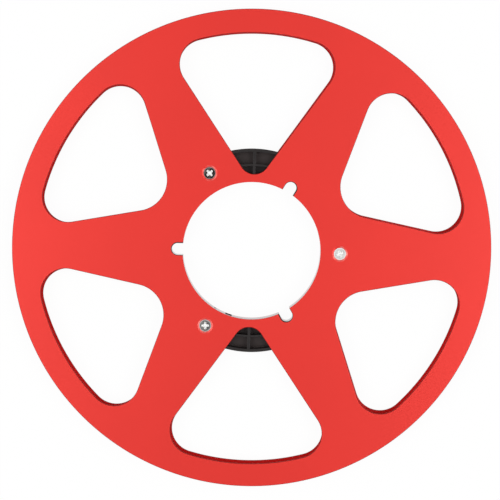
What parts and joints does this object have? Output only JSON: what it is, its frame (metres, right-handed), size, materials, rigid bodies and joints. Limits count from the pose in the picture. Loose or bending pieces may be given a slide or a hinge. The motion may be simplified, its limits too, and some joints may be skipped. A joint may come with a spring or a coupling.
{
  "type": "audio tape reel",
  "caption": "Large open-reel tape spool: two flat red metal flanges with windows, screwed to a black moulded core with a wide notched bore.",
  "frame": {"origin": "on the spin axis, at the outside face of the rear flange that the reel lies on", "axes": "+Z along the spin axis from the rear flange to the front flange; +Y through the middle of one deep window; +X through one screw and the middle of a spoke"},
  "size_m": [0.2666, 0.2666, 0.0088],
  "materials": {
    "flange_red": "satin red anodised aluminium sheet",
    "core_black": "moulded black, glossy in the bore",
    "screw_steel": "bright zinc plate",
    "bush_brass": "turned"
  },
  "bodies": {
    "root": {"front_flange": "flange_red", "rear_flange": "flange_red", "core": "core_black", "threaded_bush_1": "bush_brass", "front_screw_1": "screw_steel", "rear_screw_1": "screw_steel", "threaded_bush_2": "bush_brass", "front_screw_2": "screw_steel", "rear_screw_2": "screw_steel", "threaded_bush_3": "bush_brass", "front_screw_3": "screw_steel", "rear_screw_3": "screw_steel"}
  },
  "joints": []
}
